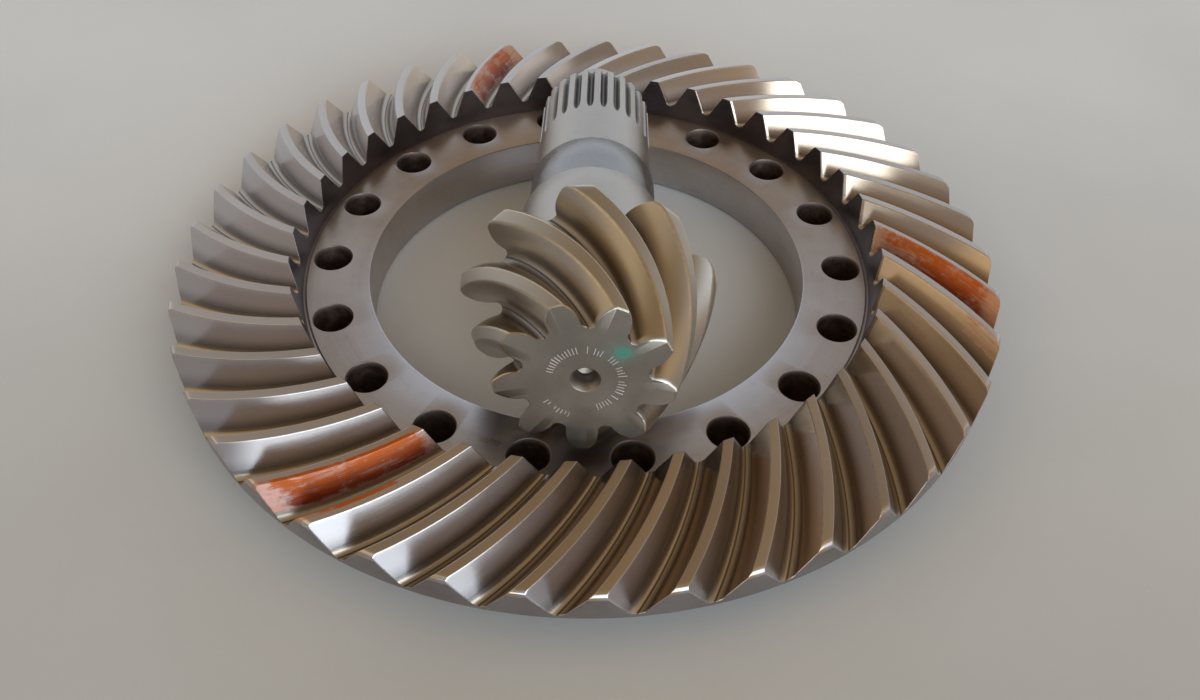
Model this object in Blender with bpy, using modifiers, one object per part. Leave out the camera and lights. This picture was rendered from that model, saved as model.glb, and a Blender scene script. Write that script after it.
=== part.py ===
"""Spiral bevel crown wheel with its pinion lying loose across the bore.

Lengths below are millimetres and angles are degrees; the mesh is built in metres, +Z up.
The crown wheel lies on its flat back with its axis on world Z.
The pinion is drawn about its own local Z with the small end face at zero, then tipped into place.
"""
import math

import bmesh
import bpy
from mathutils import Matrix, Vector

MM = 0.001

# Crown wheel: counts, circles and heights.
WHEEL_TEETH = 41
WHEEL_FACETS = 2 * WHEEL_TEETH
BORE_RADIUS = 122.5
FLANGE_TOP = 29.7
FLANGE_EDGE_RADIUS = 157.3
BACK_FLAT_RADIUS = 167.0
BOLT_COUNT = 18
BOLT_CIRCLE_RADIUS = 145.0
BOLT_HOLE_RADIUS = 10.5
BOLT_FIRST_ANGLE = 119.1
EDGE = 1.0
WHEEL_TOE_TIP = (163.2, 51.1)
WHEEL_TOE_ROOT = (160.4, 36.6)
WHEEL_HEEL_TIP = (228.7, 40.4)
WHEEL_HEEL_ROOT = (227.0, 23.5)

# Tooth trace shared by both gears: a circular cutter path on the flattened pitch cone.
CONE_INNER = 166.5
CONE_OUTER = 233.6
CUTTER_RADIUS = 203.0
SPIRAL_ANGLE = 35.0
WHEEL_PITCH_ANGLE = 77.62
WHEEL_TOPLAND_ANGLE = 279.5
WHEEL_TOPLAND_T = 0.424

# Half width of the wheel's tooth gap in degrees at a fraction of the tooth depth.
WHEEL_GAP = ((0.0, 0.62), (1.35, 4.26))

# Pinion: resting place, lengths along the shaft and radii.
PINION_TEETH = 9
PINION_FACETS = 44
PINION_TIP_ANGLE = 107.7
PINION_TWIST = 67.5
PINION_TOE = (-0.3, -143.35, 84.15)
PINION_TILT = -7.2
PINION_YAW = 1.08
PINION_TOE_TIP = (42.2, 0.0)
PINION_TOE_ROOT = (29.2, 0.0)
PINION_HEEL_TIP = (64.0, 65.5)
PINION_HEEL_ROOT = (44.8, 69.6)
FRONT_JOURNAL = (38.0, 127.5)
BEARING_SEAT = (34.6, 167.0)
SPLINE_LAND = (32.8, 259.5)
THREAD_STUB = (17.0, 296.9)

# Half width of the pinion's tooth gap in degrees at a fraction of the tooth depth.
PINION_GAP = ((0.0, 3.4), (0.08, 5.2), (0.47, 7.5), (0.75, 11.3), (1.16, 18.2), (1.4, 19.2))

# Spline: grooves that run out towards the bearing seat.
SPLINE_COUNT = 26
SPLINE_PHASE = 94.9
SPLINE_ROOT = 29.7
SPLINE_RUNOUT = (
    (208.0, 33.3, 0.25),
    (210.0, 31.9, 0.75),
    (213.9, 30.4, 1.0),
    (219.4, SPLINE_ROOT, 1.0),
    (261.5, SPLINE_ROOT, 1.0),
)
GROOVE_HALF_BOTTOM = 1.5
GROOVE_HALF_TOP = 2.3
GROOVE_TOP_RADIUS = 34.4


def clear_scene():
    for item in list(bpy.data.objects):
        bpy.data.objects.remove(item, do_unlink=True)


def new_collection(name):
    group = bpy.data.collections.new(name)
    bpy.context.scene.collection.children.link(group)
    return group


def new_material(name, colour, metallic, roughness):
    material = bpy.data.materials.new(name)
    material.use_nodes = True
    shader = material.node_tree.nodes["Principled BSDF"]
    shader.inputs["Base Color"].default_value = (*colour, 1.0)
    shader.inputs["Metallic"].default_value = metallic
    shader.inputs["Roughness"].default_value = roughness
    return material


def new_object(name, mesh, group):
    item = bpy.data.objects.new(name, mesh)
    group.objects.link(item)
    return item


def hide_cutter(item):
    item.hide_render = True
    item.display_type = 'WIRE'


def turned(name, profile, closed, facets, group):
    """Revolve a radius-height profile about Z with the Screw modifier."""
    mesh = bpy.data.meshes.new(name)
    points = [(radius * MM, 0.0, height * MM) for radius, height in profile]
    edges = [(i, i + 1) for i in range(len(points) - 1)]
    if closed:
        edges.append((len(points) - 1, 0))
    mesh.from_pydata(points, edges, [])
    item = new_object(name, mesh, group)
    screw = item.modifiers.new("turn", 'SCREW')
    screw.axis = 'Z'
    screw.angle = math.tau
    screw.steps = facets
    screw.render_steps = facets
    screw.use_merge_vertices = True
    screw.merge_threshold = 0.00001
    screw.use_smooth_shade = False
    return item


def cut(target, cutter, label):
    boolean = target.modifiers.new(label, 'BOOLEAN')
    boolean.operation = 'DIFFERENCE'
    boolean.solver = 'EXACT'
    boolean.object = cutter


def mix(first, second, t):
    return tuple(a + (b - a) * t for a, b in zip(first, second))


def trace_angle(t):
    """Angle in degrees of the cutter path at a fraction of the tooth length."""
    mean = 0.5 * (CONE_INNER + CONE_OUTER)
    lean = math.sin(math.radians(SPIRAL_ANGLE))
    centre = math.sqrt(mean ** 2 + CUTTER_RADIUS ** 2 - 2 * mean * CUTTER_RADIUS * lean)
    cone = CONE_INNER + t * (CONE_OUTER - CONE_INNER)
    cosine = (cone ** 2 + centre ** 2 - CUTTER_RADIUS ** 2) / (2 * cone * centre)
    return math.degrees(math.acos(cosine))


def wheel_trace(t):
    """Centre angle of the reference tooth; it falls outwards on a right-hand wheel."""
    scale = 1.0 / math.sin(math.radians(WHEEL_PITCH_ANGLE))
    turn = trace_angle(t) - trace_angle(WHEEL_TOPLAND_T)
    return WHEEL_TOPLAND_ANGLE + scale * turn


def pinion_trace(t):
    """Centre angle of the reference tooth; it rises towards the heel."""
    whole = trace_angle(0.0) - trace_angle(1.0)
    return PINION_TIP_ANGLE + PINION_TWIST * (trace_angle(0.0) - trace_angle(t)) / whole


def ring_point(radius, height, angle):
    turn = math.radians(angle)
    return Vector((radius * math.cos(turn), radius * math.sin(turn), height)) * MM


def add_loft(shape, rings):
    """Skin equal closed rings of points and cap both ends."""
    loops = [[shape.verts.new(point) for point in ring] for ring in rings]
    count = len(loops[0])
    for lower, upper in zip(loops, loops[1:]):
        for i in range(count):
            j = (i + 1) % count
            shape.faces.new((lower[i], lower[j], upper[j], upper[i]))
    shape.faces.new(tuple(reversed(loops[0])))
    shape.faces.new(loops[-1])


def finish_loft(name, shape, group):
    bmesh.ops.recalc_face_normals(shape, faces=shape.faces)
    mesh = bpy.data.meshes.new(name)
    shape.to_mesh(mesh)
    shape.free()
    item = new_object(name, mesh, group)
    hide_cutter(item)
    return item


def gap_ring(root, tip, gap, centre, sign):
    """One section across a tooth gap, up one flank and down the other."""
    left = []
    right = []
    for depth, half in gap:
        radius, height = mix(root, tip, depth)
        left.append(ring_point(radius, sign * height, centre - half))
        right.append(ring_point(radius, sign * height, centre + half))
    return list(reversed(left)) + right


def gap_cutter(name, teeth, stations, section, group):
    shape = bmesh.new()
    for tooth in range(teeth):
        turn = (tooth + 0.5) * 360.0 / teeth
        add_loft(shape, [section(t, turn) for t in stations])
    return finish_loft(name, shape, group)


def spaced(first, last, count):
    return [first + (last - first) * i / (count - 1) for i in range(count)]


def wheel_section(t, turn):
    root = mix(WHEEL_TOE_ROOT, WHEEL_HEEL_ROOT, t)
    tip = mix(WHEEL_TOE_TIP, WHEEL_HEEL_TIP, t)
    return gap_ring(root, tip, WHEEL_GAP, wheel_trace(t) + turn, 1.0)


def pinion_section(t, turn):
    root = mix(PINION_TOE_ROOT, PINION_HEEL_ROOT, t)
    tip = mix(PINION_TOE_TIP, PINION_HEEL_TIP, t)
    return gap_ring(root, tip, PINION_GAP, pinion_trace(t) + turn, -1.0)


def wheel_profile():
    """Closed section of the wheel blank, from the inner tooth ends round the outside."""
    return [
        WHEEL_TOE_TIP,
        (226.4, 40.8),
        (228.5, 38.6),
        (226.7, 20.6),
        (225.2, 18.9),
        (170.5, 3.2),
        (BACK_FLAT_RADIUS, 0.0),
        (BORE_RADIUS + EDGE, 0.0),
        (BORE_RADIUS, EDGE),
        (BORE_RADIUS, FLANGE_TOP - EDGE),
        (BORE_RADIUS + EDGE, FLANGE_TOP),
        (FLANGE_EDGE_RADIUS, FLANGE_TOP),
        (FLANGE_EDGE_RADIUS + 0.7, FLANGE_TOP - 0.7),
        (159.5, FLANGE_TOP - 0.7),
        WHEEL_TOE_ROOT,
    ]


def hole_cutter(group):
    """Stepped plugs: a straight drill and a shallow flare at the flange top."""
    shape = bmesh.new()
    flare = BOLT_HOLE_RADIUS + EDGE
    levels = (
        (-2.0, BOLT_HOLE_RADIUS),
        (FLANGE_TOP - EDGE, BOLT_HOLE_RADIUS),
        (FLANGE_TOP, flare),
        (FLANGE_TOP + 2.0, flare + 2.0),
    )
    for hole in range(BOLT_COUNT):
        angle = BOLT_FIRST_ANGLE + hole * 360.0 / BOLT_COUNT
        centre = ring_point(BOLT_CIRCLE_RADIUS, 0.0, angle)
        rings = []
        for height, radius in levels:
            rings.append([centre + ring_point(radius, height, 30.0 * i) for i in range(12)])
        add_loft(shape, rings)
    return finish_loft("cutter_bolt_holes", shape, group)


def build_wheel(parts, cutters, steel):
    wheel = turned("crown_wheel", wheel_profile(), True, WHEEL_FACETS, parts)
    stations = spaced(-0.08, 1.08, 7)
    gaps = gap_cutter("cutter_wheel_gaps", WHEEL_TEETH, stations, wheel_section, cutters)
    cut(wheel, gaps, "tooth gaps")
    cut(wheel, hole_cutter(cutters), "bolt holes")
    wheel.data.materials.append(steel)
    return wheel


def pinion_profile():
    """Section of the pinion blank from the centre drilling to the threaded end."""
    front, front_end = FRONT_JOURNAL
    seat, seat_end = BEARING_SEAT
    land, land_end = SPLINE_LAND
    stub, stub_end = THREAD_STUB
    outline = [
        (0.0, 12.4),
        (4.4, 9.8),
        (4.4, 3.8),
        (7.0, 0.0),
        (41.2, 0.0),
        (42.4, 0.9),
        (62.3, 60.5),
        (63.4, 63.4),
        (62.9, 65.6),
        (61.0, 66.7),
        (44.6, 70.2),
        (39.8, 71.3),
        (front, 73.2),
        (front, front_end - EDGE),
        (front - EDGE, front_end),
        (seat, front_end),
        (seat, seat_end - EDGE),
        (land, seat_end),
        (land, land_end - 1.5),
        (land - 1.5, land_end),
        (stub, land_end),
        (stub, stub_end - 1.6),
        (stub - 1.6, stub_end),
        (0.0, stub_end),
    ]
    return [(radius, -along) for radius, along in outline]


def groove_cutter(group):
    shape = bmesh.new()
    for groove in range(SPLINE_COUNT):
        angle = SPLINE_PHASE + groove * 360.0 / SPLINE_COUNT
        turn = Matrix.Rotation(math.radians(angle), 3, 'Z')
        rings = []
        for along, bottom, width in SPLINE_RUNOUT:
            low = GROOVE_HALF_BOTTOM * width
            high = GROOVE_HALF_TOP * width
            corners = (
                (bottom, -low, -along),
                (bottom, low, -along),
                (GROOVE_TOP_RADIUS, high, -along),
                (GROOVE_TOP_RADIUS, -high, -along),
            )
            rings.append([turn @ (Vector(corner) * MM) for corner in corners])
        add_loft(shape, rings)
    return finish_loft("cutter_spline", shape, group)


def pinion_pose():
    """Local Z points out of the small end face, back along the shaft direction."""
    tilt = math.radians(PINION_TILT)
    yaw = math.radians(PINION_YAW)
    shaft = Vector((math.sin(yaw) * math.cos(tilt), math.cos(yaw) * math.cos(tilt), math.sin(tilt)))
    side = shaft.cross(Vector((0.0, 0.0, 1.0))).normalized()
    rise = side.cross(shaft)
    turn = Matrix((side, rise, -shaft)).transposed().to_4x4()
    return Matrix.Translation(Vector(PINION_TOE) * MM) @ turn


def build_pinion(parts, cutters, steel):
    pinion = turned("pinion", pinion_profile(), False, PINION_FACETS, parts)
    stations = spaced(-0.06, 1.08, 12)
    gaps = gap_cutter("cutter_pinion_gaps", PINION_TEETH, stations, pinion_section, cutters)
    grooves = groove_cutter(cutters)
    cut(pinion, gaps, "tooth gaps")
    cut(pinion, grooves, "spline grooves")
    pose = pinion_pose()
    for item in (pinion, gaps, grooves):
        item.matrix_world = pose
    pinion.data.materials.append(steel)
    return pinion


def main():
    clear_scene()
    parts = new_collection("bevel_gear_pair")
    cutters = new_collection("cutters")
    wheel_steel = new_material("wheel_steel", (0.36, 0.33, 0.32), 1.0, 0.34)
    pinion_steel = new_material("pinion_steel", (0.44, 0.42, 0.40), 1.0, 0.30)
    build_wheel(parts, cutters, wheel_steel)
    build_pinion(parts, cutters, pinion_steel)


main()
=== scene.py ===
"""Spiral bevel crown wheel and pinion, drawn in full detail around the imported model."""
import math

import bpy
import numpy as np
from mathutils import Euler, Matrix, Vector


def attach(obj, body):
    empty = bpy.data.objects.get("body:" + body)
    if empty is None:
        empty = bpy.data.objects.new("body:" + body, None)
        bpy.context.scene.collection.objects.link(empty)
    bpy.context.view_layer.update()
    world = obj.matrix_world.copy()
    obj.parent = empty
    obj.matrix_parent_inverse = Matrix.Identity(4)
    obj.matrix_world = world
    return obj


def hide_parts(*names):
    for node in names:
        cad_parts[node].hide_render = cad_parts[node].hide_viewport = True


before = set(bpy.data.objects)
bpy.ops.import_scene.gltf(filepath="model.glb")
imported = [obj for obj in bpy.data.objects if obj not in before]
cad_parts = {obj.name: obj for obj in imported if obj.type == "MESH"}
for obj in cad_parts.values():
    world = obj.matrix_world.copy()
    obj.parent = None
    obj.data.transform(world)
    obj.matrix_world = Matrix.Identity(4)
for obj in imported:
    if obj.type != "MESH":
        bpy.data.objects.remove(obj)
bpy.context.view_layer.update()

MM = 0.001

# Camera: focal length in millimetres, place in metres and turn in degrees.
CAMERA_LENS = 33.909
CAMERA_PLACE = (0.0, -0.49099, 0.45276)
CAMERA_TURN = (44.8375, -0.8639, -0.1231)

# Crown wheel, in millimetres and degrees.  Profile points are (radius, height).
WHEEL_TEETH = 41
WHEEL_TOE_TIP = (163.2, 51.1)
WHEEL_TOE_ROOT = (160.4, 36.6)
WHEEL_HEEL_TIP = (228.6, 40.4)
WHEEL_HEEL_ROOT = (227.0, 23.5)
WHEEL_ROOT_GAP = 0.62
WHEEL_TIP_GAP = (3.42, 3.68)  # at toe and heel
WHEEL_EDGE = 0.22
WHEEL_FILLET = 0.15
WHEEL_HEEL_START = 0.955
WHEEL_TOPLAND_ANGLE = 279.5
WHEEL_TOPLAND_T = 0.424
SPLIT_RADIUS = 158.95
FLANGE_TOP = 29.7
WALL_FOOT = FLANGE_TOP - 0.7
BORE_RADIUS = 122.5
BOLT_COUNT = 18
BOLT_CIRCLE = 145.0
BOLT_RADIUS = 10.5
BOLT_FIRST = 119.1
BOLT_SIDES = 48

# Tooth trace: a circular cutter path on the flattened pitch cone.
CONE = (166.5, 233.6)
CUTTER_RADIUS = 203.0
SPIRAL_ANGLE = 35.0
WHEEL_PITCH_ANGLE = 77.62

# Pinion.  Its own profile points are (radius, distance from the small end face).
PINION_TEETH = 9
PINION_TIP_ANGLE = 107.7
PINION_TWIST = 67.5
PINION_TOE = (-0.3, -143.35, 84.15)
PINION_TILT = -7.2
PINION_YAW = 1.08
PINION_TOE_TIP = (42.2, 0.0)
PINION_TOE_ROOT = (29.2, 0.0)
PINION_HEEL_TIP = (64.0, 65.5)
PINION_HEEL_ROOT = (44.8, 69.6)
FRONT_JOURNAL = (38.0, 127.5)
BEARING_SEAT = (34.6, 167.0)
SPLINE_LAND = (32.8, 259.5)
THREAD_STUB = (17.0, 296.9)
PINION_EDGE = 0.6
PINION_FILLET = 0.12
PINION_HEEL_START = 0.945
SPLINE_COUNT = 26
SPLINE_PHASE = 94.9
SPLINE_DEPTH = 3.1
SPLINE_HALF = 2.15
SPLINE_POWER = 2.4
SPLINE_RUN = (219.4, 11.4)  # where the run-out ends, and its length

# Half width of the pinion's tooth gap in degrees at a fraction of the tooth depth.
PINION_GAP = ((0.08, 5.2), (0.25, 6.1), (0.47, 7.5), (0.75, 11.3), (1.0, 15.4))
PINION_GAP_CURVE = np.polyfit(*zip(*PINION_GAP), 3)

# How far a topland drops at the heel, as a fraction of the tooth depth.
HEEL_DROP = 0.16

# Where a flank has its rows, from the brow at 0 to the fillet at 1.
FLANK_ROWS = np.concatenate([[0.0, 0.03], np.linspace(0.12, 1.0, 9)])

# Where the teeth have their sections, as fractions of the tooth length.
WHEEL_SECTIONS = np.concatenate([
    [0.004], np.linspace(0.03, 0.95, 25), [0.962, 0.970, 0.978, 0.985, 0.991, 0.996]])
PINION_SECTIONS = np.concatenate([
    [0.0085], np.linspace(0.03, 0.945, 44), [0.96, 0.972, 0.982, 0.99, 0.996]])

# Faces that meet at more than this many degrees keep a sharp edge.
SHARP_ANGLE = 32.0

# Millimetres across the tooth surface for one unit of the layer that steers the grinding lines.
FLOW_UNIT = 1000.0

# Ticks on the pinion's small end face: inner and outer radius in metres, first and last turn in
# radians, pitch in radians, seed.
FACE_TICKS = (
    (0.0148, 0.0192, -1.30, 2.95, 0.098, 3.0),
    (0.0205, 0.0238, -2.55, -1.90, 0.085, 11.0),
)
TICK_COLOUR = (0.86, 0.85, 0.83)

# Green marker dab on that face: place in metres, then its colours.
DAB_PLACE = (0.0162, 0.0158)
DAB_COLOUR = (0.03, 0.20, 0.15)
DAB_HAZE = (0.22, 0.42, 0.36)

# Marking paste: tooth, side, depth of paste, where it starts along the tooth and how high up
# the flank, then its colours.
PAINTED = (
    (9, -1, 0.74, 0.0, 0.0),
    (8, -1, 0.30, 0.7, 0.5),
    (22, -1, 0.70, 0.0, 0.0),
    (36, 1, 0.84, 0.0, 0.0),
    (37, -1, 0.80, 0.42, 0.45),
)
PASTE_DEEP = (0.15, 0.013, 0.002)
PASTE_LIGHT = (0.42, 0.086, 0.007)
PASTE_THIN = (0.46, 0.145, 0.045)

# Floor: size and height in metres, the depths its tone runs between, and the two tones; the far
# tone, lighter and cooler, is a painted reflection of the far wall.
TABLE_SIZE = 8.0
TABLE_HEIGHT = -0.0004
TABLE_DEPTHS = (-0.55, 0.45)
TABLE_NEAR = (0.463, 0.458, 0.453)
TABLE_FAR = (0.66, 0.676, 0.702)

# Room.  The backdrop is what the camera sees behind the floor; it gives no light.
BACKDROP = (0.50, 0.50, 0.51)
ROOM_WALL = (0.35, 0.34, 0.34)
ROOM_CEILING = (0.34, 0.235, 0.12)

# Light patches: azimuth from +Y towards +X, half width, lowest and highest elevation, edge
# softness (degrees), and brightness in red, green and blue.
PATCHES = (
    (0.0, 65.0, -8.0, 12.0, 4.0, (0.95, 1.05, 1.18)),
    (0.0, 60.0, 14.0, 34.0, 5.0, (0.85, 0.97, 1.12)),
    (-45.0, 18.0, 32.0, 50.0, 6.0, (0.50, 0.50, 0.52)),
    (-103.0, 36.0, 18.0, 56.0, 7.0, (0.95, 0.75, 0.48)),
    (92.0, 30.0, 30.0, 75.0, 8.0, (0.80, 0.58, 0.34)),
    (165.0, 34.0, -6.0, 17.0, 4.0, (3.3, 3.6, 3.7)),
    (148.0, 26.0, 34.0, 50.0, 5.0, (1.9, 2.2, 2.45)),
    (154.0, 26.0, 18.0, 34.0, 3.0, (4.4, 5.0, 5.4)),
)


# ---------------------------------------------------------------- helpers

def mix(a, b, t):
    return np.asarray(a, float) + (np.asarray(b, float) - np.asarray(a, float)) * t


def trace_angle(t):
    """Angle in degrees of the cutter path at a fraction of the tooth length."""
    mean = 0.5 * (CONE[0] + CONE[1])
    lean = math.sin(math.radians(SPIRAL_ANGLE))
    centre = math.sqrt(mean ** 2 + CUTTER_RADIUS ** 2 - 2 * mean * CUTTER_RADIUS * lean)
    cone = CONE[0] + t * (CONE[1] - CONE[0])
    cosine = (cone ** 2 + centre ** 2 - CUTTER_RADIUS ** 2) / (2 * cone * centre)
    return math.degrees(math.acos(cosine))


def wheel_trace(t):
    scale = 1.0 / math.sin(math.radians(WHEEL_PITCH_ANGLE))
    return WHEEL_TOPLAND_ANGLE + scale * (trace_angle(t) - trace_angle(WHEEL_TOPLAND_T))


def pinion_trace(t):
    whole = trace_angle(0.0) - trace_angle(1.0)
    return PINION_TIP_ANGLE + PINION_TWIST * (trace_angle(0.0) - trace_angle(t)) / whole


def polar(radius, angle, height):
    """Rows of points in millimetres from radii, angles in degrees and heights."""
    turn = np.radians(angle)
    radius, height = np.broadcast_arrays(radius, height)
    return np.stack([radius * np.cos(turn), radius * np.sin(turn), height + 0 * turn], axis=-1)


def ring_mesh(name, skin, close=False, caps=()):
    """Skin equal closed rings of points; caps names the ends to close with a fan."""
    rings = skin.rings
    count = len(rings[0])
    points = np.concatenate(rings)
    marks = {label: np.concatenate(rows) for label, rows in skin.marks.items()}
    index = np.arange(count)
    after = np.roll(index, -1)
    faces = []
    bands = []
    pairs = [(i, i + 1) for i in range(len(rings) - 1)]
    if close:
        pairs.append((len(rings) - 1, 0))
    for low, high in pairs:
        a = low * count
        b = high * count
        faces += np.stack([a + index, a + after, b + after, b + index], axis=-1).tolist()
        bands += [max(skin.kinds[low], skin.kinds[high])] * count
    for ring, flip in (("first", True), ("last", False)):
        if ring not in caps:
            continue
        base = 0 if flip else (len(rings) - 1) * count
        hub = len(points)
        points = np.concatenate([points, points[base:base + count].mean(axis=0, keepdims=True)])
        marks = {label: np.append(rows, rows[base]) for label, rows in marks.items()}
        edge = np.stack([after, index] if flip else [index, after], axis=-1) + base
        faces += [(one, two, hub) for one, two in edge.tolist()]
        bands += [skin.kinds[0 if flip else -1]] * count
    mesh = bpy.data.meshes.new(name)
    mesh.from_pydata((points * MM).tolist(), [], faces)
    for label, rows in marks.items():
        layer = mesh.attributes.new(label, 'FLOAT', 'POINT')
        layer.data.foreach_set("value", rows.astype(np.float32))
    mesh.polygons.foreach_set("material_index", np.array(bands, np.int32))
    corner = np.empty(len(mesh.loops), np.int32)
    mesh.loops.foreach_get("vertex_index", corner)
    flow = np.stack([marks["across"][corner] / FLOW_UNIT, marks["long"][corner]], axis=-1)
    mesh.uv_layers.new(name="flow").data.foreach_set("uv", flow.astype(np.float32).ravel())
    mesh.update()
    return mesh


def outward(mesh):
    """Turn the faces outward by the sign of the enclosed volume."""
    mesh.calc_loop_triangles()
    co = np.empty(len(mesh.vertices) * 3, np.float32)
    mesh.vertices.foreach_get("co", co)
    co = co.reshape(-1, 3).astype(float)
    tri = np.empty(len(mesh.loop_triangles) * 3, np.int32)
    mesh.loop_triangles.foreach_get("vertices", tri)
    a, b, c = (co[tri.reshape(-1, 3)[:, i]] for i in range(3))
    if np.einsum("ij,ij->i", a, np.cross(b, c)).sum() < 0:
        mesh.flip_normals()


def add_piece(name, mesh, body, nodes, materials, holes=None, pose=None):
    """Link one visible piece; holes cuts it, and pose moves it from its own axis to its place."""
    outward(mesh)
    for material in materials:
        mesh.materials.append(material)
    piece = bpy.data.objects.new(name, mesh)
    bpy.context.scene.collection.objects.link(piece)
    if holes is not None:
        holes(piece)
    mesh = piece.data
    here = mesh.attributes.new("place", 'FLOAT_VECTOR', 'POINT')
    co = np.empty(len(mesh.vertices) * 3, np.float32)
    mesh.vertices.foreach_get("co", co)
    here.data.foreach_set("vector", co)
    if pose is not None:
        mesh.transform(pose)
    mesh.shade_smooth()
    mesh.set_sharp_from_angle(angle=math.radians(SHARP_ANGLE))
    mesh.update()
    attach(piece, body)
    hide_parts(*nodes)


def tooth_outline(flank, half_pitch, depth, top, edge, fillet):
    """One tooth section from gap middle to gap middle, as (side, height, height fraction).

    flank(h) gives the half thickness at a height fraction.  top is the height fraction of the
    topland, edge the rounding there and fillet the height fraction where the root begins.
    """
    tip = flank(top)
    brow = top - edge / depth
    rows = [((tip - edge) * part, top * depth, top) for part in (0.0, 0.35, 0.7, 0.9, 1.0)]
    rows.append((tip - 0.25 * edge, (top * depth) - 0.25 * edge, top))
    for part in FLANK_ROWS:
        height = brow + (fillet - brow) * part
        rows.append((flank(height), height * depth, height))
    start = flank(fillet)
    for turn in np.radians((22.0, 45.0, 67.0)):
        side = start + (half_pitch - start) * (1 - math.cos(turn))
        rows.append((side, fillet * depth * (1 - math.sin(turn)), 0.5 * fillet))
    rows.append((half_pitch, 0.0, 0.0))
    right = np.array(rows)
    left = right[1:-1][::-1].copy()
    left[:, 0] *= -1
    return np.concatenate([left, right])


def inset(outline, amount):
    """Move section points into the metal by a chamfer width."""
    half_pitch = outline[:, 0].max()
    first = np.array([[-half_pitch, 0.0, 0.0]])
    after = np.concatenate([outline[1:], [[half_pitch + 1.0, outline[-1, 1], 0.0]]])
    before = np.concatenate([first, outline[:-1]])
    along = after[:, :2] - before[:, :2]
    normal = np.stack([-along[:, 1], along[:, 0]], axis=-1)
    normal /= np.maximum(np.linalg.norm(normal, axis=1, keepdims=True), 1e-9)
    normal[-1] = (0.0, 1.0)
    moved = outline.copy()
    moved[:, :2] -= normal * amount
    return moved


def heel_top(t, start):
    """Height fraction of the topland, which rounds off from start to the heel."""
    heel = max(0.0, (t - start) / (1.0 - start))
    return 1.0 - HEEL_DROP * (1.0 - math.sqrt(max(0.0, 1.0 - heel ** 2)))


def toothed_ring(teeth, root, tip, centre, outline):
    """Place one section outline on every tooth.

    Returns points, height fractions, sides, tooth numbers, lengths across the surface and angles.
    """
    depth = math.dist(root, tip)
    part = outline[:, 1] / depth
    radius = root[0] + (tip[0] - root[0]) * part
    height = root[1] + (tip[1] - root[1]) * part
    turn = np.degrees(outline[:, 0] / radius)
    index = np.arange(teeth)
    angle = (centre + turn[None, :] + index[:, None] * 360.0 / teeth).ravel()
    points = polar(np.tile(radius, teeth), angle, np.tile(height, teeth))
    side = np.tile(np.sign(np.round(outline[:, 0], 6)), teeth)
    tooth = np.repeat(index, len(outline)).astype(float)
    stride = np.linalg.norm(np.diff(outline[:, :2], axis=0, prepend=outline[:1, :2]), axis=1)
    length = np.cumsum(stride)
    across = (length[None, :] + index[:, None] * (length[-1] + 1.0)).ravel()
    return points, np.tile(outline[:, 2], teeth), side, tooth, across, angle


class Skin:
    """Collects rings of points with the marks that the materials read.

    kind is the material of the faces beside a ring; the higher of two rings' kinds wins.
    """

    def __init__(self):
        self.rings = []
        self.kinds = []
        self.marks = {"high": [], "long": [], "side": [], "tooth": [], "across": []}

    def add(self, points, high, along, side, tooth, across=0.0, kind=0):
        count = len(points)
        self.rings.append(points)
        self.kinds.append(kind)
        for rows, value in zip(self.marks.values(), (high, along, side, tooth, across)):
            rows.append(np.broadcast_to(value, count))

    def turned(self, profile, angle, kind=1):
        for radius, height in profile:
            self.add(polar(radius, angle, height), -1.0, -1.0, 0.0, -1.0, kind=kind)


# ---------------------------------------------------------------- camera

def place_camera():
    data = bpy.data.cameras.new("camera")
    data.lens = CAMERA_LENS
    data.sensor_width = 36.0
    data.clip_start = 0.02
    data.clip_end = 50.0
    camera = bpy.data.objects.new("camera", data)
    camera.location = CAMERA_PLACE
    camera.rotation_euler = Euler([math.radians(v) for v in CAMERA_TURN])
    bpy.context.scene.collection.objects.link(camera)
    bpy.context.scene.camera = camera


place_camera()


# ---------------------------------------------------------------- crown wheel

def wheel_section(t):
    """Root and tip of a section, and the half thickness of its tooth by height fraction."""
    root = mix(WHEEL_TOE_ROOT, WHEEL_HEEL_ROOT, t)
    tip = mix(WHEEL_TOE_TIP, WHEEL_HEEL_TIP, t)
    tip_gap = WHEEL_TIP_GAP[0] + (WHEEL_TIP_GAP[1] - WHEEL_TIP_GAP[0]) * t

    def flank(high):
        gap = WHEEL_ROOT_GAP + (tip_gap - WHEEL_ROOT_GAP) * high
        radius = root[0] + (tip[0] - root[0]) * high
        return radius * math.radians(180.0 / WHEEL_TEETH - gap)

    return root, tip, flank


def wheel_ring(skin, t, chamfer=0.0):
    root, tip, flank = wheel_section(t)
    half_pitch = root[0] * math.radians(180.0 / WHEEL_TEETH)
    outline = tooth_outline(flank, half_pitch, math.dist(root, tip),
                            heel_top(t, WHEEL_HEEL_START), WHEEL_EDGE, WHEEL_FILLET)
    if chamfer:
        outline = inset(outline, chamfer)
    points, high, side, tooth, across, angle = toothed_ring(
        WHEEL_TEETH, root, tip, wheel_trace(t), outline)
    skin.add(points, high, t, side, tooth, across)
    return angle


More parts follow.
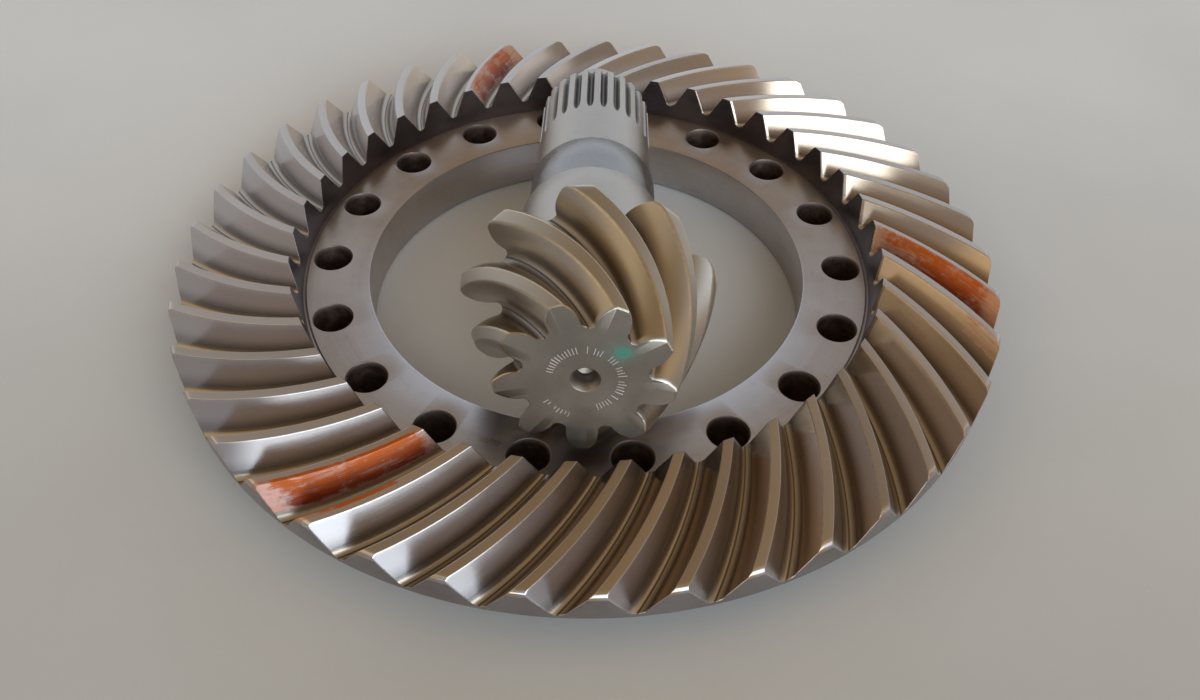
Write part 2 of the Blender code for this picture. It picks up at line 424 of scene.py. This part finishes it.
def wheel_rim():
    """Toothed rim: up the toe wall, along the teeth, round the back and home."""
    skin = Skin()
    toe_angle = wheel_ring(Skin(), 0.0)
    heel_angle = wheel_ring(Skin(), 1.0)
    # Kind 2 is the toe wall's steel, painted dark as painted shade; the toe chamfer ring gets it
    # too.
    skin.turned([(SPLIT_RADIUS, WALL_FOOT), (159.4, 31.5)], toe_angle, kind=2)
    wheel_ring(skin, 0.0, chamfer=0.25)
    skin.kinds[-1] = 2
    for t in WHEEL_SECTIONS:
        wheel_ring(skin, t)
    wheel_ring(skin, 1.0, chamfer=0.45)
    cone_top, cone_foot = (225.2, 18.9), (170.5, 3.2)
    outer = [(226.85, 22.0), (226.7, 20.9), (226.4, 20.4), cone_top]
    outer += [tuple(mix(cone_top, cone_foot, part)) for part in (0.25, 0.5, 0.75, 1.0)]
    outer += [(167.5, 0.3), (166.8, 0.0), (SPLIT_RADIUS, 0.0)]
    skin.turned(outer, heel_angle)
    for part in np.linspace(0.1, 0.9, 9):
        angle = heel_angle + (toe_angle - heel_angle) * part
        skin.turned([(SPLIT_RADIUS, WALL_FOOT * part)], angle, kind=2)
    return ring_mesh("crown_wheel_teeth", skin, close=True)


def flange():
    skin = Skin()
    angle = np.arange(360.0)
    profile = [
        (SPLIT_RADIUS, 0.0),
        (BORE_RADIUS + 1.0, 0.0),
        (BORE_RADIUS, 1.0),
        (BORE_RADIUS, FLANGE_TOP - 1.0),
        (BORE_RADIUS + 0.3, FLANGE_TOP - 0.3),
        (BORE_RADIUS + 1.0, FLANGE_TOP),
        (157.2, FLANGE_TOP),
        (157.8, FLANGE_TOP - 0.6),
        (158.2, WALL_FOOT),
        (SPLIT_RADIUS, WALL_FOOT),
    ]
    skin.turned(profile, angle, kind=0)
    return ring_mesh("crown_wheel_flange", skin, close=True)


def drill(piece):
    """Cut the bolt holes, with a shallow flare at both faces, into the flange."""
    levels = (
        (-1.0, BOLT_RADIUS + 2.0),
        (1.0, BOLT_RADIUS),
        (FLANGE_TOP - 1.0, BOLT_RADIUS),
        (FLANGE_TOP - 0.2, BOLT_RADIUS + 0.35),
        (FLANGE_TOP + 1.0, BOLT_RADIUS + 1.9),
    )
    spokes = np.arange(BOLT_SIDES) * 360.0 / BOLT_SIDES
    last = (len(levels) - 1) * BOLT_SIDES
    points = []
    faces = []
    for hole in range(BOLT_COUNT):
        middle = polar(BOLT_CIRCLE, np.array([BOLT_FIRST + hole * 360.0 / BOLT_COUNT]), 0.0)[0]
        base = len(points)
        for height, radius in levels:
            points.extend(((polar(radius, spokes, height) + middle) * MM).tolist())
        for level in range(len(levels) - 1):
            for i in range(BOLT_SIDES):
                a = base + level * BOLT_SIDES + i
                b = base + level * BOLT_SIDES + (i + 1) % BOLT_SIDES
                faces.append((a, b, b + BOLT_SIDES, a + BOLT_SIDES))
        faces.append([base + i for i in reversed(range(BOLT_SIDES))])
        faces.append([base + last + i for i in range(BOLT_SIDES)])
    mesh = bpy.data.meshes.new("drill")
    mesh.from_pydata(points, [], faces)
    mesh.update()
    outward(mesh)
    mesh.materials.append(piece.data.materials[1])
    tool = bpy.data.objects.new("drill", mesh)
    bpy.context.scene.collection.objects.link(tool)
    boolean = piece.modifiers.new("drill", 'BOOLEAN')
    boolean.operation = 'DIFFERENCE'
    boolean.solver = 'EXACT'
    boolean.material_mode = 'TRANSFER'
    boolean.object = tool
    graph = bpy.context.evaluated_depsgraph_get()
    cut = bpy.data.meshes.new_from_object(piece.evaluated_get(graph))
    piece.modifiers.clear()
    piece.data = cut
    bpy.data.objects.remove(tool)


# ---------------------------------------------------------------- pinion

def pinion_pose():
    """Local Z points out of the small end face, back along the shaft direction."""
    tilt = math.radians(PINION_TILT)
    yaw = math.radians(PINION_YAW)
    shaft = Vector((math.sin(yaw) * math.cos(tilt), math.cos(yaw) * math.cos(tilt), math.sin(tilt)))
    side = shaft.cross(Vector((0.0, 0.0, 1.0))).normalized()
    rise = side.cross(shaft)
    turn = Matrix((side, rise, -shaft)).transposed().to_4x4()
    return Matrix.Translation(Vector(PINION_TOE) * MM) @ turn


def pinion_ring(skin, t, chamfer=0.0):
    root = mix(PINION_TOE_ROOT, PINION_HEEL_ROOT, t) * (1, -1)
    tip = mix(PINION_TOE_TIP, PINION_HEEL_TIP, t) * (1, -1)

    def flank(high):
        gap = float(np.polyval(PINION_GAP_CURVE, high))
        radius = root[0] + (tip[0] - root[0]) * high
        return radius * math.radians(180.0 / PINION_TEETH - gap)

    half_pitch = root[0] * math.radians(180.0 / PINION_TEETH)
    outline = tooth_outline(flank, half_pitch, math.dist(root, tip),
                            heel_top(t, PINION_HEEL_START), PINION_EDGE, PINION_FILLET)
    if chamfer:
        outline = inset(outline, chamfer)
    points, high, side, tooth, across, angle = toothed_ring(
        PINION_TEETH, root, tip, pinion_trace(t), outline)
    skin.add(points, high, t, side, tooth, across)
    return angle


def pinion_head():
    """Head and front journal, from the centre hole in the small end face backwards."""
    skin = Skin()
    toe_angle = pinion_ring(Skin(), 0.0)
    heel_angle = pinion_ring(Skin(), 1.0)
    centre_hole = [(0.05, -12.4), (4.3, -9.8), (4.3, -4.2), (6.6, -0.35), (7.1, 0.0)]
    skin.turned(centre_hole + [(11.0, 0.0), (18.0, 0.0), (26.0, 0.0)], toe_angle)
    pinion_ring(skin, 0.0, chamfer=0.55)
    for t in PINION_SECTIONS:
        pinion_ring(skin, t)
    pinion_ring(skin, 1.0, chamfer=0.5)
    front, front_end = FRONT_JOURNAL
    rear = [(44.2, 70.3), (39.9, 71.2), (38.8, 71.7), (38.2, 72.5), (front, 73.4), (front, 90.0)]
    rear += [(front, 110.0), (front, front_end - 1.0), (front - 0.25, front_end - 0.35)]
    rear += [(front - 1.0, front_end), (30.0, front_end), (0.05, front_end)]
    skin.turned([(radius, -along) for radius, along in rear], heel_angle, kind=2)
    return ring_mesh("pinion_head", skin, caps=("first", "last"))


def spline_ring(skin, along, outer):
    """One ring of the shaft; grooves fade out where their cutter leaves the metal."""
    run_end, run_length = SPLINE_RUN
    run = max(0.0, run_end - along)
    depth = max(SPLINE_DEPTH - SPLINE_DEPTH * (run / run_length) ** 2, 0.0)
    edge = max(SPLINE_HALF * (depth / SPLINE_DEPTH) ** (1 / SPLINE_POWER), 0.2)
    land = outer * math.pi / SPLINE_COUNT
    half = [edge * part for part in (0.0, 0.22, 0.45, 0.65, 0.82, 0.93, 1.0)]
    half += [edge + 0.3 * (land - edge), edge + 0.7 * (land - edge)]
    half = np.array(half)
    cut = np.maximum(0.0, depth - SPLINE_DEPTH * (half / SPLINE_HALF) ** SPLINE_POWER)
    radius = np.minimum(outer, SPLINE_LAND[0] - cut)
    side = np.concatenate([-half[1:][::-1], half])
    radius = np.concatenate([radius[1:][::-1], radius])
    turn = np.degrees(side / outer)
    index = np.arange(SPLINE_COUNT)
    angle = (SPLINE_PHASE + turn[None, :] + index[:, None] * 360.0 / SPLINE_COUNT).ravel()
    radius = np.tile(radius, SPLINE_COUNT)
    deep = np.clip((outer - radius) / SPLINE_DEPTH, 0.0, 1.0)
    skin.add(polar(radius, angle, -along), deep, -1.0, 0.0, -2.0)
    return angle


def pinion_shaft():
    """Bearing seat, spline and plain stub."""
    skin = Skin()
    seat, seat_end = BEARING_SEAT
    land, land_end = SPLINE_LAND
    stub, stub_end = THREAD_STUB
    start = FRONT_JOURNAL[1]
    angle = spline_ring(Skin(), 200.0, land)
    rows = [(0.05, start - 3.0), (seat, start - 3.0), (seat, start), (seat, 147.0)]
    rows += [(seat, seat_end - 1.0), (seat - 0.4, seat_end - 0.3), (seat - 1.0, seat_end)]
    rows += [(land + 0.15, seat_end), (land, seat_end + 0.15), (land, 187.0)]
    skin.turned([(radius, -along) for radius, along in rows[:-3]], angle, kind=1)
    skin.turned([(radius, -along) for radius, along in rows[-3:]], angle, kind=0)
    run_out = np.linspace(208.0, SPLINE_RUN[0], 15)
    for along in np.concatenate([[206.0], run_out, [225.0, 240.0, 257.6]]):
        spline_ring(skin, along, land)
    for along, outer in ((258.0, land - 0.05), (258.8, land - 0.8), (land_end, land - 1.6)):
        spline_ring(skin, along, outer)
    tail = [(26.0, land_end), (stub + 0.4, land_end), (stub, land_end + 0.4), (stub, 278.0)]
    tail += [(stub, stub_end - 1.6), (stub - 1.6, stub_end), (8.0, stub_end), (0.05, stub_end)]
    skin.turned([(radius, -along) for radius, along in tail], angle, kind=0)
    return ring_mesh("pinion_shaft", skin, caps=("first", "last"))


# ---------------------------------------------------------------- materials

class Nodes:
    """Short calls that build the nodes of one tree."""

    def __init__(self, tree):
        self.tree = tree

    def feed(self, socket, value):
        if isinstance(value, bpy.types.NodeSocket):
            self.tree.links.new(value, socket)
        else:
            socket.default_value = value

    def mark(self, name, output="Fac"):
        node = self.tree.nodes.new("ShaderNodeAttribute")
        node.attribute_name = name
        return node.outputs[output]

    def math(self, operation, *values):
        node = self.tree.nodes.new("ShaderNodeMath")
        node.operation = operation
        for socket, value in zip(node.inputs, values):
            self.feed(socket, value)
        return node.outputs[0]

    def add(self, a, b):
        return self.math('ADD', a, b)

    def times(self, a, b):
        return self.math('MULTIPLY', a, b)

    def step(self, value, low, high, out_low=0.0, out_high=1.0):
        """A smooth rise from out_low to out_high between low and high, or a fall if high < low."""
        node = self.tree.nodes.new("ShaderNodeMapRange")
        node.interpolation_type = 'SMOOTHSTEP'
        for label, entry in (("Value", value), ("From Min", low), ("From Max", high),
                             ("To Min", out_low), ("To Max", out_high)):
            self.feed(node.inputs[label], entry)
        return node.outputs["Result"]

    def vector(self, x, y, z):
        node = self.tree.nodes.new("ShaderNodeCombineXYZ")
        for socket, value in zip(node.inputs, (x, y, z)):
            self.feed(socket, value)
        return node.outputs[0]

    def parts(self, vector):
        node = self.tree.nodes.new("ShaderNodeSeparateXYZ")
        self.feed(node.inputs[0], vector)
        return node.outputs

    def noise(self, vector, scale, detail=3.0, roughness=0.55):
        node = self.tree.nodes.new("ShaderNodeTexNoise")
        self.feed(node.inputs["Vector"], vector)
        node.inputs["Scale"].default_value = scale
        node.inputs["Detail"].default_value = detail
        node.inputs["Roughness"].default_value = roughness
        return node.outputs["Fac"]

    def chance(self, value):
        node = self.tree.nodes.new("ShaderNodeTexWhiteNoise")
        node.noise_dimensions = '1D'
        self.feed(node.inputs["W"], value)
        return node.outputs["Value"]

    def blend(self, part, a, b):
        node = self.tree.nodes.new("ShaderNodeMix")
        node.data_type = 'RGBA'
        self.feed(node.inputs["Factor"], part)
        for label, value in (("A", a), ("B", b)):
            socket = next(i for i in node.inputs if i.name == label and i.type == 'RGBA')
            self.feed(socket, value if isinstance(value, bpy.types.NodeSocket) else (*value, 1.0))
        return next(o for o in node.outputs if o.type == 'RGBA')

    def shade(self, colour, amount):
        """Scale a colour's value by a number."""
        node = self.tree.nodes.new("ShaderNodeHueSaturation")
        self.feed(node.inputs["Color"], colour)
        self.feed(node.inputs["Value"], amount)
        return node.outputs[0]

    def around(self, place):
        """Radius and turn of a place about the piece's own axis."""
        x, y, z = self.parts(place)
        radius = self.math('SQRT', self.add(self.times(x, x), self.times(y, y)))
        return radius, self.math('ARCTAN2', y, x), z


class Finish(Nodes):
    """One material, built round one principled shader."""

    def __init__(self, name, **fixed):
        self.material = bpy.data.materials.new(name)
        self.material.use_nodes = True
        super().__init__(self.material.node_tree)
        self.tree.nodes.clear()
        self.shader = self.tree.nodes.new("ShaderNodeBsdfPrincipled")
        output = self.tree.nodes.new("ShaderNodeOutputMaterial")
        self.tree.links.new(self.shader.outputs[0], output.inputs["Surface"])
        for label, value in fixed.items():
            self.shader.inputs[label.replace("_", " ")].default_value = value

    def set(self, label, value):
        self.feed(self.shader.inputs[label], value)

    def base(self):
        """What feeds the base colour so far."""
        return self.shader.inputs["Base Color"].links[0].from_socket

    def bump(self, height, distance, strength):
        node = self.tree.nodes.new("ShaderNodeBump")
        self.feed(node.inputs["Height"], height)
        node.inputs["Distance"].default_value = distance
        node.inputs["Strength"].default_value = strength
        self.set("Normal", node.outputs[0])


def tooth_steel(name, cool, warm, root, crest, gloss, lap):
    """Ground tooth flanks: lines along the tooth, worn edges, a tinted root and crest, with painted
    shade low on the flanks and along the middle of each root.

    Returns the finish with its colour and roughness, for the caller to set.
    """
    f = Finish(name, Metallic=1.0)
    lay = f.tree.nodes.new("ShaderNodeTangent")
    lay.direction_type = 'UV_MAP'
    lay.uv_map = "flow"
    f.set("Tangent", lay.outputs[0])
    place = f.mark("place", "Vector")
    high, long, tooth = f.mark("high"), f.mark("long"), f.mark("tooth")
    f.set("Anisotropic", f.step(high, 0.03, 0.12, 0.0, 0.85))  # the root isn't ground
    one = f.chance(tooth)
    grain = f.vector(f.times(long, 1.3), f.times(high, 26.0), f.times(tooth, 7.31))
    lines = f.noise(grain, 1.0, 2.5, 0.6)
    cloud = f.noise(place, 26.0, 4.0)
    speck = f.noise(place, 420.0, 2.0)
    drive = f.add(f.mark("side"), f.times(f.add(cloud, f.times(one, 0.3)), 0.9))
    colour = f.blend(f.step(drive, -0.1, 1.3), warm, cool)
    bright = [min(1.0, c * 1.15) for c in cool]
    colour = f.blend(f.times(f.step(lines, 0.42, 0.75), 0.12), colour, bright)
    # Painted shade: the colour darkens towards the root, low on each flank.
    colour = f.shade(colour, f.step(high, 0.15, 0.55, 0.62, 1.0))
    colour = f.blend(f.step(high, 0.13, 0.07), colour, root)
    # Painted shade: a dark line along the middle of each root, where the gap is deepest.
    colour = f.blend(f.step(high, 0.040, 0.015), colour, [0.3 * c for c in root])
    crown = f.step(high, 0.975, 0.995)
    colour = f.blend(f.times(crown, 0.8), colour, crest)
    near_end = f.math('MAXIMUM', f.step(long, 0.012, 0.0), f.step(long, 0.988, 1.0))
    brow = f.times(f.step(high, 0.90, 0.965), f.step(high, 1.0, 0.985))
    worn = f.times(f.math('MAXIMUM', near_end, brow), f.step(speck, 0.3, 0.62))
    worn = f.times(worn, f.step(high, 0.1, 0.3))
    colour = f.blend(f.times(worn, 0.3), colour, (0.70, 0.67, 0.64))
    colour = f.shade(colour, f.add(0.86, f.times(one, 0.22)))
    rough = f.add(gloss, f.times(f.add(lines, -0.5), 0.08))
    rough = f.add(rough, f.times(f.add(cloud, -0.5), 0.12))
    rough = f.add(rough, f.step(high, 0.24, 0.08, 0.0, 0.16))
    rough = f.add(rough, f.times(crown, 0.10))
    f.bump(lines, 0.00004, lap)
    return f, colour, rough


def wheel_teeth_finish():
    """The wheel's tooth steel under its streaky, half worn off marking paste."""
    f, colour, rough = tooth_steel(
        "wheel_teeth_steel", cool=(0.54, 0.52, 0.55), warm=(0.56, 0.44, 0.335),
        root=(0.41, 0.35, 0.29), crest=(0.48, 0.42, 0.37), gloss=0.20, lap=0.10)
    paint = f.mark("paint")
    place = f.mark("place", "Vector")
    long, high = f.mark("long"), f.mark("high")
    smear = f.vector(f.times(long, 7.0), f.times(high, 10.0), f.mark("tooth"))
    streak = f.noise(smear, 1.0, 6.0, 0.7)
    patch = f.noise(place, 120.0, 5.0, 0.65)
    body = f.add(f.times(streak, 0.55), f.times(patch, 0.55))
    ends = f.math('MAXIMUM', f.step(long, 0.12, 0.0), f.step(long, 0.82, 0.97))
    thin = f.times(ends, 0.34)
    depth = f.add(f.add(paint, f.times(thin, -1.0)), f.times(f.add(body, -0.55), 2.0))
    wipe = f.vector(f.times(long, 2.6), f.times(high, 5.0), f.mark("tooth"))
    rub = f.noise(wipe, 1.0, 4.0, 0.6)
    cover = f.times(f.step(depth, 0.28, 0.80), f.step(rub, 0.52, 0.70, 1.0, 0.62))
    wash = f.times(f.step(f.add(depth, f.times(thin, 0.8)), 0.10, 0.45), 0.60)
    cover = f.math('MAXIMUM', cover, wash)
    cover = f.times(cover, f.step(paint, 0.04, 0.22))  # none on the clean teeth
    # The paste's colour runs darker low on the flank and lighter towards the topland, besides its
    # streaks.
    tone = f.add(f.times(high, 0.75), f.times(streak, 0.65))
    hue = f.blend(f.step(tone, 0.45, 1.0), PASTE_DEEP, PASTE_LIGHT)
    hue = f.blend(f.step(depth, 0.62, 0.42), hue, PASTE_THIN)
    f.set("Base Color", f.blend(cover, colour, hue))
    f.set("Metallic", f.add(1.0, f.times(cover, -0.5)))
    f.set("Roughness", f.add(rough, f.times(cover, 0.14)))
    return f.material


def pinion_teeth_finish():
    f, colour, rough = tooth_steel(
        "pinion_teeth_steel", cool=(0.44, 0.40, 0.36), warm=(0.58, 0.43, 0.26),
        root=(0.34, 0.29, 0.24), crest=(0.47, 0.41, 0.335), gloss=0.30, lap=0.15)
    f.set("Base Color", colour)
    f.set("Roughness", rough)
    return f.material


def turned_finish(name, dark, light, gloss, pitch, blotch=18.0):
    """Lathe-turned or ground steel: fine rings, soft clouds and a few stains."""
    f = Finish(name, Metallic=1.0)
    place = f.mark("place", "Vector")
    radius, turn, height = f.around(place)
    lathe = f.vector(f.times(radius, pitch), f.times(turn, 0.35), f.times(height, pitch))
    rings = f.noise(lathe, 1.0, 4.0, 0.7)
    cloud = f.noise(place, blotch, 5.0, 0.6)
    small = f.noise(place, 210.0, 3.0)
    colour = f.blend(f.step(cloud, 0.33, 0.68), dark, light)
    colour = f.blend(f.times(f.step(small, 0.55, 0.8), 0.25), colour, [c * 0.7 for c in dark])
    f.set("Base Color", f.shade(colour, f.add(0.9, f.times(rings, 0.2))))
    rough = f.add(gloss, f.times(f.add(rings, -0.5), 0.20))
    f.set("Roughness", f.add(rough, f.times(f.add(cloud, -0.5), 0.22)))
    f.bump(f.add(rings, f.times(small, 0.25)), 0.00005, 0.5)
    return f


def shaft_finish():
    """Ground shaft whose spline grooves are painted dark, as painted shade."""
    f = turned_finish("pinion_shaft_steel", (0.405, 0.36, 0.315), (0.455, 0.41, 0.365),
                      0.36, 1200.0)
    # Painted shade: the colour darkens with the depth of the spline grooves.
    f.set("Base Color", f.shade(f.base(), f.step(f.mark("high"), 0.10, 0.75, 1.0, 0.25)))
    return f.material


def face_finish():
    """Small end face: turned rings, plain radial index ticks and a dab of green marker."""
    f = turned_finish("pinion_face_steel", (0.215, 0.19, 0.165), (0.275, 0.245, 0.215),
                      0.44, 1500.0)
    place = f.mark("place", "Vector")
    radius, turn, height = f.around(place)
    x, y, _ = f.parts(place)
    front = f.step(height, -0.0006, -0.0003)
    marks = None
    for inner, outer, first, last, pitch, seed in FACE_TICKS:
        cell = f.math('DIVIDE', turn, pitch)
        index = f.math('FLOOR', cell)
        inside = f.math('ABSOLUTE', f.add(f.add(cell, f.times(index, -1.0)), -0.5))
        long = f.times(f.chance(f.add(index, seed)), 0.0016)
        bar = f.times(f.step(inside, 0.17, 0.09),
                      f.step(f.chance(f.add(index, seed + 0.5)), 0.24, 0.26))
        ring = f.times(f.step(radius, inner, inner + 0.0002),
                       f.step(f.add(radius, long), outer, outer - 0.0002))
        arc = f.times(f.step(turn, first, first + 0.01), f.step(turn, last, last - 0.01))
        part = f.times(f.times(bar, ring), f.times(arc, front))
        marks = part if marks is None else f.math('MAXIMUM', marks, part)
    dx = f.add(x, -DAB_PLACE[0])
    dy = f.add(y, -DAB_PLACE[1])
    away = f.math('SQRT', f.add(f.times(dx, dx), f.times(f.times(dy, dy), 1.6)))
    ragged = f.add(away, f.times(f.add(f.noise(place, 330.0, 4.0), -0.5), 0.006))
    dab = f.times(f.step(ragged, 0.0052, 0.0028), front)
    haze = f.times(f.step(ragged, 0.013, 0.004), front)
    colour = f.blend(f.times(marks, 0.85), f.base(), TICK_COLOUR)
    colour = f.blend(f.times(haze, 0.22), colour, DAB_HAZE)
    f.set("Base Color", f.blend(f.times(dab, 0.85), colour, DAB_COLOUR))
    f.set("Metallic", f.add(1.0, f.times(dab, -0.8)))
    small = f.noise(place, 900.0, 3.0)
    f.bump(f.add(small, f.times(marks, -6.0)), 0.00006, 0.6)
    return f.material


def hole_finish():
    """Rough drilled walls, mottled with rust and painted dark as painted shade inside the holes,
    with a paler mouth at the top.
    """
    f = Finish("bolt_hole_rust_and_shade", Metallic=0.85)
    place = f.mark("place", "Vector")
    rust = f.noise(place, 160.0, 5.0, 0.65)
    height = f.parts(place)[2]
    rings = f.noise(f.vector(0.0, 0.0, f.times(height, 2600.0)), 1.0, 2.0)
    mouth = f.step(height, 0.026, 0.029)
    # Painted shade: both wall tones are very dark, and the mouth at the top is painted lighter.
    colour = f.blend(f.step(rust, 0.35, 0.7), (0.07, 0.045, 0.035), (0.17, 0.11, 0.085))
    f.set("Base Color", f.blend(mouth, colour, (0.22, 0.18, 0.17)))
    f.set("Roughness", f.add(0.42, f.times(rust, 0.25)))
    f.bump(f.add(rings, rust), 0.00008, 0.6)
    return f.material


def table_finish():
    """Plain satin floor whose tone runs from near to far, as a painted reflection of the far wall:
    lighter and cooler far off.
    """
    f = Finish("table_top", Specular_IOR_Level=0.3)
    coordinate = f.tree.nodes.new("ShaderNodeTexCoord").outputs["Object"]
    cloud = f.noise(coordinate, 3.0, 4.0, 0.5)
    grain = f.noise(coordinate, 260.0, 2.0)
    # Painted reflection: the floor lightens and cools from near to far.
    colour = f.blend(f.step(f.parts(coordinate)[1], *TABLE_DEPTHS), TABLE_NEAR, TABLE_FAR)
    colour = f.shade(colour, f.step(cloud, 0.3, 0.7, 0.94, 1.04))
    f.set("Base Color", f.shade(colour, f.add(0.985, f.times(grain, 0.03))))
    f.set("Roughness", f.add(0.32, f.times(cloud, 0.10)))
    f.bump(grain, 0.00002, 0.3)
    return f.material


# ---------------------------------------------------------------- paint marks

def wheel_paint(mesh):
    """Mark where three teeth carry paste: full on one flank, sometimes a smear on the next."""
    count = len(mesh.vertices)
    marks = {}
    for label in ("high", "long", "side", "tooth"):
        marks[label] = np.empty(count, np.float32)
        mesh.attributes[label].data.foreach_get("value", marks[label])
    paint = np.zeros(count, np.float32)
    fade = np.clip((marks["high"] - 0.12) / 0.15, 0.0, 1.0)
    ends = np.clip(marks["long"] / 0.04, 0.0, 1.0)
    for tooth, side, depth, start, low in PAINTED:
        hit = (marks["high"] > -0.5) & (marks["tooth"] == tooth) & (marks["side"] == side)
        hit &= (marks["long"] >= start) & (marks["high"] >= low)
        paint[hit] = np.maximum(paint[hit], (depth * fade * ends)[hit])
    layer = mesh.attributes.new("paint", 'FLOAT', 'POINT')
    layer.data.foreach_set("value", paint)


# ---------------------------------------------------------------- assembly

teeth_steel = wheel_teeth_finish()
rim_steel = turned_finish(
    "wheel_rim_steel", (0.26, 0.24, 0.25), (0.36, 0.34, 0.35), 0.34, 900.0).material
# Painted shade: the toe wall, the chamfers at the teeth's toe ends and the hidden inner wall get a
# far darker steel than the rim, standing in for the shade there.
painted_shade_wall = turned_finish(
    "toe_wall_painted_shade", (0.085, 0.07, 0.07), (0.15, 0.12, 0.115), 0.42, 900.0).material
flange_steel = turned_finish(
    "flange_steel", (0.45, 0.41, 0.40), (0.53, 0.49, 0.48), 0.32, 700.0).material
hole_rust_and_shade = hole_finish()

rim = wheel_rim()
wheel_paint(rim)
add_piece("crown_wheel_teeth", rim, "wheel", ("crown_wheel",),
          (teeth_steel, rim_steel, painted_shade_wall))
add_piece("crown_wheel_flange", flange(), "wheel", ("crown_wheel",),
          (flange_steel, hole_rust_and_shade), holes=drill)

pinion_teeth = pinion_teeth_finish()
face_steel = face_finish()
shaft_steel = shaft_finish()
seat_steel = turned_finish(
    "bearing_seat_steel", (0.27, 0.255, 0.245), (0.30, 0.285, 0.275), 0.30, 1600.0,
    blotch=60.0).material

POSE = pinion_pose()
add_piece("pinion_head", pinion_head(), "pinion", ("pinion",),
          (pinion_teeth, face_steel, shaft_steel), pose=POSE)
add_piece("pinion_shaft", pinion_shaft(), "pinion", ("pinion",),
          (shaft_steel, seat_steel), pose=POSE)


# ---------------------------------------------------------------- floor and light

def table():
    mesh = bpy.data.meshes.new("table")
    far = 0.5 * TABLE_SIZE
    corners = [(x * far, y * far, TABLE_HEIGHT) for x, y in ((-1, -1), (1, -1), (1, 1), (-1, 1))]
    mesh.from_pydata(corners, [], [(0, 1, 2, 3)])
    mesh.materials.append(table_finish())
    piece = bpy.data.objects.new("table", mesh)
    bpy.context.scene.collection.objects.link(piece)
    return piece


table()


def room():
    """A dim warm room with soft bright patches, the light of a plain studio."""
    world = bpy.data.worlds.new("room")
    bpy.context.scene.world = world
    world.use_nodes = True
    f = Nodes(world.node_tree)
    x, y, z = f.parts(f.tree.nodes.new("ShaderNodeTexCoord").outputs["Generated"])
    flat = f.math('SQRT', f.add(f.times(x, x), f.times(y, y)))
    elevation = f.math('ARCTAN2', z, flat)
    rise = f.step(elevation, math.radians(30.0), math.radians(60.0))
    colour = f.blend(rise, ROOM_WALL, ROOM_CEILING)
    for azimuth, half, low, high, soft, radiance in PATCHES:
        turn = math.radians(azimuth)
        toward = f.add(f.times(x, math.sin(turn)), f.times(y, math.cos(turn)))
        away = f.math('ARCCOSINE', f.math('DIVIDE', toward, f.math('MAXIMUM', flat, 1e-4)))
        cover = f.step(away, math.radians(half + soft), math.radians(half - soft))
        above = f.step(elevation, math.radians(low - soft), math.radians(low + soft))
        cover = f.times(cover, above)
        below = f.step(elevation, math.radians(high + soft), math.radians(high - soft))
        cover = f.times(cover, below)
        colour = f.blend(cover, colour, radiance)
    seen = f.tree.nodes.new("ShaderNodeLightPath").outputs["Is Camera Ray"]
    colour = f.blend(seen, colour, BACKDROP)
    f.feed(f.tree.nodes["Background"].inputs["Color"], colour)


room()
bpy.context.scene.view_settings.view_transform = 'Standard'
